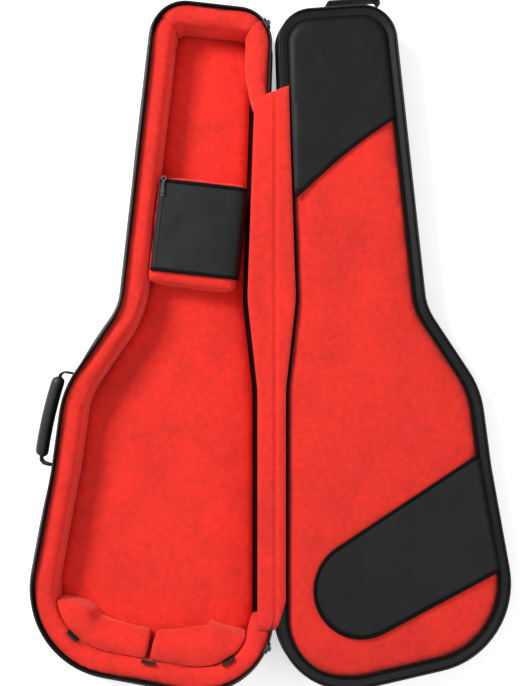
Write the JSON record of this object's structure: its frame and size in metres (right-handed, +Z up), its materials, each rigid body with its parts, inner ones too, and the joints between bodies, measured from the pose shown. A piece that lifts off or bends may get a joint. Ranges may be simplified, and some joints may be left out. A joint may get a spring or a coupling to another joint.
{
  "type": "guitar case",
  "caption": "Soft padded case for an electric guitar, shown open: plush-lined tub with neck rest and butt cushion, padded lid on a fabric hinge, carry handle and zipper.",
  "frame": {"origin": "centre of the tub's back, on the surface that the case lies on", "axes": "+X from the tub to the open lid, +Y towards the head end, +Z up, square to the tub's back; the hinge line runs along Y"},
  "size_m": [0.7789, 1.1161, 0.0906],
  "materials": {
    "red_plush": "short pile",
    "black_nylon": "woven, slight sheen",
    "binding_tape": "woven tape",
    "webbing": "ribbed webbing",
    "foam": "foam behind lining",
    "board": "matt",
    "zip_coil": "satin",
    "slider_metal": "dark plated",
    "grip_leather": "grained",
    "rubber": "matt"
  },
  "bodies": {
    "tub": {"back_panel": "black_nylon", "butt_cushion_left": "red_plush", "butt_cushion_right": "red_plush", "cover_binding_foot": "binding_tape", "cover_binding_head": "binding_tape", "floor_pad": "red_plush", "foot_guard": "rubber", "gusset_foot": "black_nylon", "gusset_head": "black_nylon", "gusset_spine": "black_nylon", "gusset_zip_side": "black_nylon", "handle_anchor_lower": "webbing", "handle_anchor_upper": "webbing", "hinge_facing_tub": "red_plush", "hinge_web_tub": "black_nylon", "hook_tabs": "webbing", "neck_block": "red_plush", "neck_block_cover": "black_nylon", "pad_foot": "red_plush", "pad_head": "red_plush", "pad_spine": "red_plush", "pad_zip_side": "red_plush", "pocket_zip_coil": "zip_coil", "pocket_zip_tape": "binding_tape", "stiffener_board": "board", "zip_coil_tub": "zip_coil", "zip_tape_tub": "binding_tape"},
    "lid": {"lid_panel": "black_nylon", "lid_core": "foam", "lid_gusset": "black_nylon", "lid_edge_pad": "foam", "lid_lining": "red_plush", "lid_piping": "binding_tape", "headstock_guard": "black_nylon", "document_pocket": "black_nylon", "hinge_facing_lid": "red_plush", "hinge_web_lid": "black_nylon", "zip_tape_lid": "binding_tape", "zip_coil_lid": "zip_coil", "grab_loop": "webbing"},
    "handle": {"handle_strap": "webbing", "handle_grip": "grip_leather"},
    "foot_slider": {"foot_slider": "slider_metal"},
    "foot_pull": {"foot_pull": "slider_metal"},
    "head_slider": {"head_slider": "slider_metal"},
    "head_pull": {"head_pull": "slider_metal"},
    "pocket_slider": {"pocket_slider": "slider_metal"},
    "pocket_pull": {"pocket_pull": "slider_metal"}
  },
  "joints": [
    {"name": "lid_hinge", "type": "hinge", "parent": "tub", "child": "lid", "pos_m": [0.149, 0, 0.086], "axis": [0, -1, 0], "range_deg": [0, 187.06]},
    {"name": "handle_swing", "type": "hinge", "parent": "tub", "child": "handle", "pos_m": [-0.20543, -0.12123, 0.046], "axis": [0.2231, 0.9748, 0], "range_deg": [-60, 60]},
    {"name": "foot_slider_run", "type": "hinge", "parent": "tub", "child": "foot_slider", "pos_m": [0.03, -0.43925, 0.086], "axis": [0, 0, -1], "range_deg": [0, 56]},
    {"name": "foot_pull_swing", "type": "hinge", "parent": "foot_slider", "child": "foot_pull", "pos_m": [0.13996, -0.48368, 0.0875], "axis": [-0.3746, -0.9272, 0], "range_deg": [0, 110]},
    {"name": "head_slider_run", "type": "hinge", "parent": "tub", "child": "head_slider", "pos_m": [0.08825, 0.478, 0.086], "axis": [0, 0, 1], "range_deg": [0, 45]},
    {"name": "head_pull_swing", "type": "hinge", "parent": "head_slider", "child": "head_pull", "pos_m": [0.139, 0.5073, 0.0875], "axis": [0.5, -0.866, 0], "range_deg": [0, 110]},
    {"name": "pocket_slider_run", "type": "slide", "parent": "tub", "child": "pocket_slider", "axis": [-0.1115, -0.9938, 0], "range_m": [0, 0.108]},
    {"name": "pocket_pull_swing", "type": "hinge", "parent": "pocket_slider", "child": "pocket_pull", "pos_m": [-0.03116, 0.24018, 0.0756], "axis": [0.9938, -0.1115, 0], "range_deg": [0, 150]}
  ]
}
